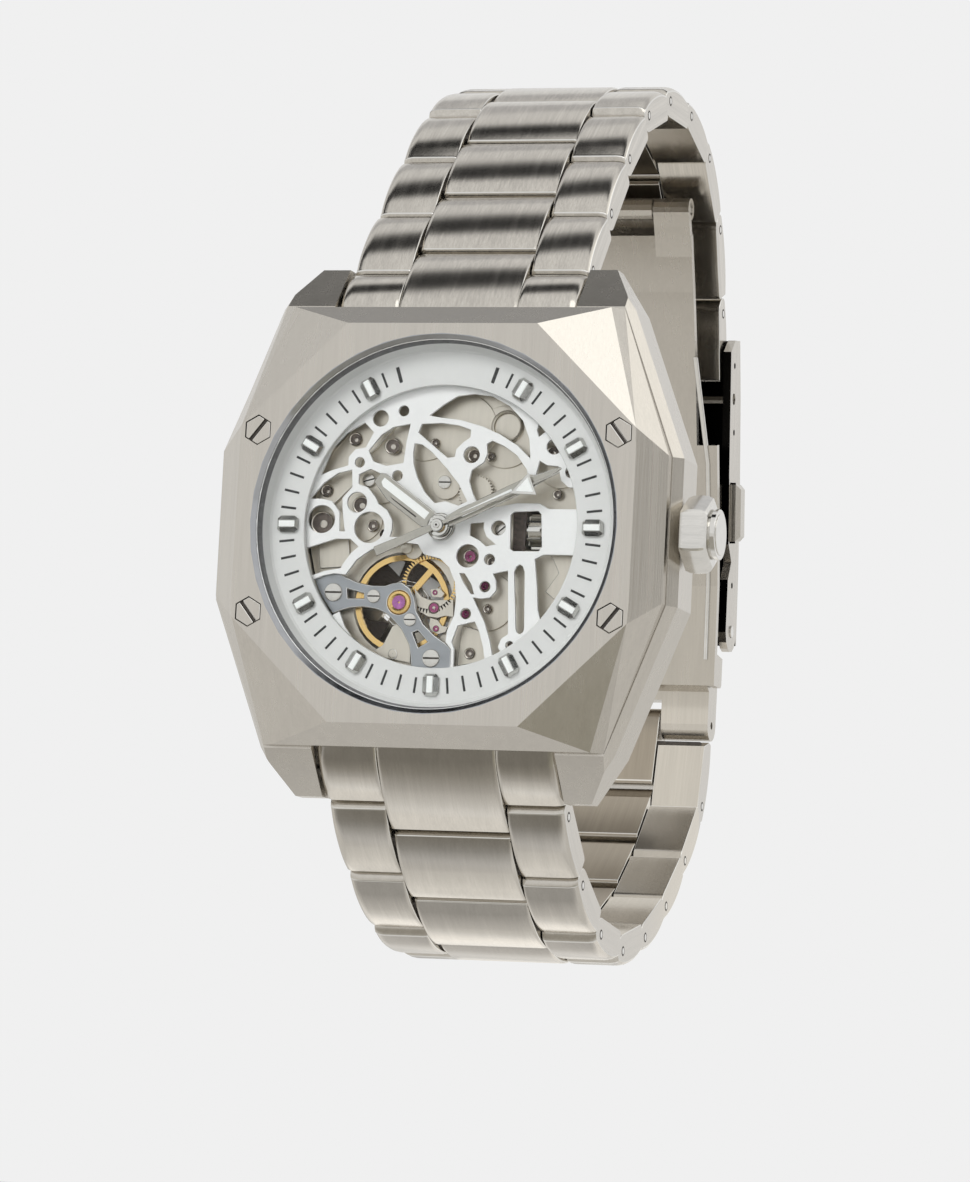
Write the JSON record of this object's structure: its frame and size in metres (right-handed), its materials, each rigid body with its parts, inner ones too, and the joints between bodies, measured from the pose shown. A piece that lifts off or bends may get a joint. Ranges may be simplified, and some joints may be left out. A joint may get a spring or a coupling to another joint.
{
  "type": "skeleton wristwatch",
  "caption": "Steel skeleton automatic wristwatch: cut-corner bezel, openworked dial over a gear train, tapering link bracelet closed by a folding clasp.",
  "frame": {"origin": "centre of the case back's flat outer face", "axes": "+Y out of the case back towards the wrist, so the dial faces -Y; +Z towards 12 o'clock; +X towards 3 o'clock and the crown"},
  "size_m": [0.0491, 0.0698, 0.0865],
  "materials": {
    "brushed_steel": "brushed",
    "polished_steel": "polished",
    "nickel_plate": "fine grained",
    "gilt_brass": "polished",
    "grey_blue_bridge": "satin, grey-blue",
    "white_satin_dial": "satin silver-white",
    "mineral_glass": "clear",
    "holder_grey": "matt"
  },
  "bodies": {
    "case": {"case_middle": "brushed_steel", "bezel": "brushed_steel", "bezel_screw_1": "polished_steel", "bezel_screw_2": "polished_steel", "bezel_screw_3": "polished_steel", "bezel_screw_4": "polished_steel", "crystal": "mineral_glass", "chapter_ring": "white_satin_dial", "dial_plate": "white_satin_dial", "movement_ring": "holder_grey", "main_plate": "nickel_plate", "train_bridge": "nickel_plate", "barrel_bridge": "nickel_plate", "balance_bridge": "grey_blue_bridge", "caseback_ring": "brushed_steel", "caseback_window": "mineral_glass", "end_link_12": "brushed_steel", "end_link_6": "brushed_steel", "spring_bar_12": "polished_steel", "spring_bar_6": "polished_steel"},
    "seconds": {"seconds_hand": "polished_steel", "fourth_wheel": "gilt_brass"},
    "minutes": {"minute_hand": "polished_steel", "centre_wheel": "gilt_brass"},
    "hours": {"hour_hand": "polished_steel"},
    "third": {"third_wheel": "gilt_brass"},
    "escape": {"escape_wheel": "polished_steel"},
    "fork": {"pallet_fork": "polished_steel"},
    "balance": {"balance_wheel": "gilt_brass", "hairspring": "grey_blue_bridge"},
    "barrel": {"mainspring_barrel": "gilt_brass"},
    "rotor": {"rotor": "polished_steel"},
    "winding": {"winding_pinion": "polished_steel"},
    "crown": {"crown": "polished_steel", "winding_stem": "polished_steel"},
    "cover": {"clasp_cover": "brushed_steel", "clasp_hinge_pin": "polished_steel", "clasp_spring_bar": "polished_steel"},
    "middle_blade": {"middle_blade": "brushed_steel", "blade_hinge_pin": "polished_steel"},
    "inner_blade": {"inner_blade": "brushed_steel"},
    "button_left": {"push_button_left": "polished_steel"},
    "button_right": {"push_button_right": "polished_steel"},
    "link_12_1": {"link_12_1": "brushed_steel"},
    "link_12_2": {"link_12_2": "brushed_steel"},
    "link_12_3": {"link_12_3": "brushed_steel"},
    "link_12_4": {"link_12_4": "brushed_steel"},
    "link_12_5": {"link_12_5": "brushed_steel"},
    "link_12_6": {"link_12_6": "brushed_steel"},
    "link_12_7": {"link_12_7": "brushed_steel"},
    "link_12_8": {"link_12_8": "brushed_steel"},
    "link_12_9": {"link_12_9": "brushed_steel"},
    "link_6_1": {"link_6_1": "brushed_steel"},
    "link_6_2": {"link_6_2": "brushed_steel"},
    "link_6_3": {"link_6_3": "brushed_steel"},
    "link_6_4": {"link_6_4": "brushed_steel"},
    "link_6_5": {"link_6_5": "brushed_steel"},
    "link_6_6": {"link_6_6": "brushed_steel"},
    "link_6_7": {"link_6_7": "brushed_steel"},
    "link_6_8": {"link_6_8": "brushed_steel"}
  },
  "joints": [
    {"name": "seconds_spin", "type": "hinge", "parent": "case", "child": "seconds", "pos_m": [0, -0.0046, 0], "axis": [0, 1, 0], "continuous": true},
    {"name": "minute_spin", "type": "hinge", "parent": "case", "child": "minutes", "pos_m": [0, -0.0056, 0], "axis": [0, 1, 0], "continuous": true},
    {"name": "hour_spin", "type": "hinge", "parent": "case", "child": "hours", "pos_m": [0, -0.0096, 0], "axis": [0, 1, 0], "continuous": true},
    {"name": "third_spin", "type": "hinge", "parent": "case", "child": "third", "pos_m": [0.00216, -0.0051, 0.00374], "axis": [0, 1, 0], "continuous": true},
    {"name": "escape_spin", "type": "hinge", "parent": "case", "child": "escape", "pos_m": [0.0013, -0.0049, -0.00399], "axis": [0, 1, 0], "continuous": true},
    {"name": "barrel_spin", "type": "hinge", "parent": "case", "child": "barrel", "pos_m": [-0.00593, -0.0046, -0.00052], "axis": [0, 1, 0], "continuous": true},
    {"name": "fork_swing", "type": "hinge", "parent": "case", "child": "fork", "pos_m": [-0.00111, -0.0049, -0.00515], "axis": [0, 1, 0], "range_deg": [-5, 5]},
    {"name": "balance_swing", "type": "hinge", "parent": "case", "child": "balance", "pos_m": [-0.00387, -0.0079, -0.00692], "axis": [0, 1, 0], "range_deg": [-270, 270], "stiffness_Nm_per_rad": 0.0000005},
    {"name": "rotor_spin", "type": "hinge", "parent": "case", "child": "rotor", "pos_m": [0, -0.0023, 0], "axis": [0, 1, 0], "continuous": true},
    {"name": "winding_spin", "type": "hinge", "parent": "case", "child": "winding", "pos_m": [0.0089, -0.0068, 0], "axis": [1, 0, 0], "continuous": true},
    {"name": "crown_pull", "type": "slide", "parent": "winding", "child": "crown", "axis": [1, 0, 0], "range_m": [0, 0.0015]},
    {"name": "hinge_12_1", "type": "hinge", "parent": "case", "child": "link_12_1", "pos_m": [0, -0.003, 0.0249], "axis": [1, 0, 0], "range_deg": [0, 13]},
    {"name": "hinge_12_2", "type": "hinge", "parent": "link_12_1", "child": "link_12_2", "pos_m": [0, 0.00282, 0.03136], "axis": [1, 0, 0], "range_deg": [0, 6]},
    {"name": "hinge_12_3", "type": "hinge", "parent": "link_12_2", "child": "link_12_3", "pos_m": [0, 0.00876, 0.03773], "axis": [1, 0, 0], "range_deg": [0, 12]},
    {"name": "hinge_12_4", "type": "hinge", "parent": "link_12_3", "child": "link_12_4", "pos_m": [0, 0.01542, 0.04332], "axis": [1, 0, 0], "range_deg": [0, 24]},
    {"name": "hinge_12_5", "type": "hinge", "parent": "link_12_4", "child": "link_12_5", "pos_m": [0, 0.02354, 0.04644], "axis": [1, 0, 0], "range_deg": [0, 24]},
    {"name": "hinge_12_6", "type": "hinge", "parent": "link_12_5", "child": "link_12_6", "pos_m": [0, 0.03224, 0.04674], "axis": [1, 0, 0], "range_deg": [0, 24]},
    {"name": "hinge_12_7", "type": "hinge", "parent": "link_12_6", "child": "link_12_7", "pos_m": [0, 0.04056, 0.0442], "axis": [1, 0, 0], "range_deg": [0, 33]},
    {"name": "hinge_12_8", "type": "hinge", "parent": "link_12_7", "child": "link_12_8", "pos_m": [0, 0.04671, 0.03805], "axis": [1, 0, 0], "range_deg": [0, 28]},
    {"name": "hinge_12_9", "type": "hinge", "parent": "link_12_8", "child": "link_12_9", "pos_m": [0, 0.04997, 0.02998], "axis": [1, 0, 0], "range_deg": [0, 15]},
    {"name": "cover_hinge", "type": "hinge", "parent": "link_12_9", "child": "cover", "pos_m": [0, 0.05178, 0.02147], "axis": [1, 0, 0], "range_deg": [0, 5]},
    {"name": "middle_blade_hinge", "type": "hinge", "parent": "cover", "child": "middle_blade", "pos_m": [0, 0.05487, -0.00203], "axis": [1, 0, 0], "range_deg": [0, 100]},
    {"name": "inner_blade_hinge", "type": "hinge", "parent": "middle_blade", "child": "inner_blade", "pos_m": [0, 0.04, 0.0389], "axis": [-1, 0, 0], "range_deg": [0, 50]},
    {"name": "button_right_press", "type": "slide", "parent": "cover", "child": "button_right", "axis": [-1, 0, 0], "range_m": [0, 0.0008], "stiffness_N_per_m": 600},
    {"name": "button_left_press", "type": "slide", "parent": "cover", "child": "button_left", "axis": [1, 0, 0], "range_m": [0, 0.0008], "stiffness_N_per_m": 600},
    {"name": "hinge_6_1", "type": "hinge", "parent": "case", "child": "link_6_1", "pos_m": [0, -0.0021, -0.0256], "axis": [-1, 0, 0], "range_deg": [0, 16]},
    {"name": "hinge_6_2", "type": "hinge", "parent": "link_6_1", "child": "link_6_2", "pos_m": [0, 0.00436, -0.03142], "axis": [-1, 0, 0], "range_deg": [0, 19]},
    {"name": "hinge_6_3", "type": "hinge", "parent": "link_6_2", "child": "link_6_3", "pos_m": [0, 0.01205, -0.03551], "axis": [-1, 0, 0], "range_deg": [0, 26]},
    {"name": "hinge_6_4", "type": "hinge", "parent": "link_6_3", "child": "link_6_4", "pos_m": [0, 0.02068, -0.03657], "axis": [-1, 0, 0], "range_deg": [0, 24]},
    {"name": "hinge_6_5", "type": "hinge", "parent": "link_6_4", "child": "link_6_5", "pos_m": [0, 0.02919, -0.03476], "axis": [-1, 0, 0], "range_deg": [0, 17]},
    {"name": "hinge_6_6", "type": "hinge", "parent": "link_6_5", "child": "link_6_6", "pos_m": [0, 0.03714, -0.03122], "axis": [-1, 0, 0], "range_deg": [0, 16]},
    {"name": "hinge_6_7", "type": "hinge", "parent": "link_6_6", "child": "link_6_7", "pos_m": [0, 0.04427, -0.02623], "axis": [-1, 0, 0], "range_deg": [0, 13]},
    {"name": "hinge_6_8", "type": "hinge", "parent": "link_6_7", "child": "link_6_8", "pos_m": [0, 0.05063, -0.0203], "axis": [-1, 0, 0], "range_deg": [0, 37]}
  ],
  "couplings": [
    {"joint": "minute_spin", "follows": "seconds_spin", "ratio": 0.016667},
    {"joint": "hour_spin", "follows": "seconds_spin", "ratio": 0.0013889},
    {"joint": "third_spin", "follows": "seconds_spin", "ratio": -0.13333},
    {"joint": "escape_spin", "follows": "seconds_spin", "ratio": -9},
    {"joint": "barrel_spin", "follows": "seconds_spin", "ratio": -0.0027778}
  ]
}
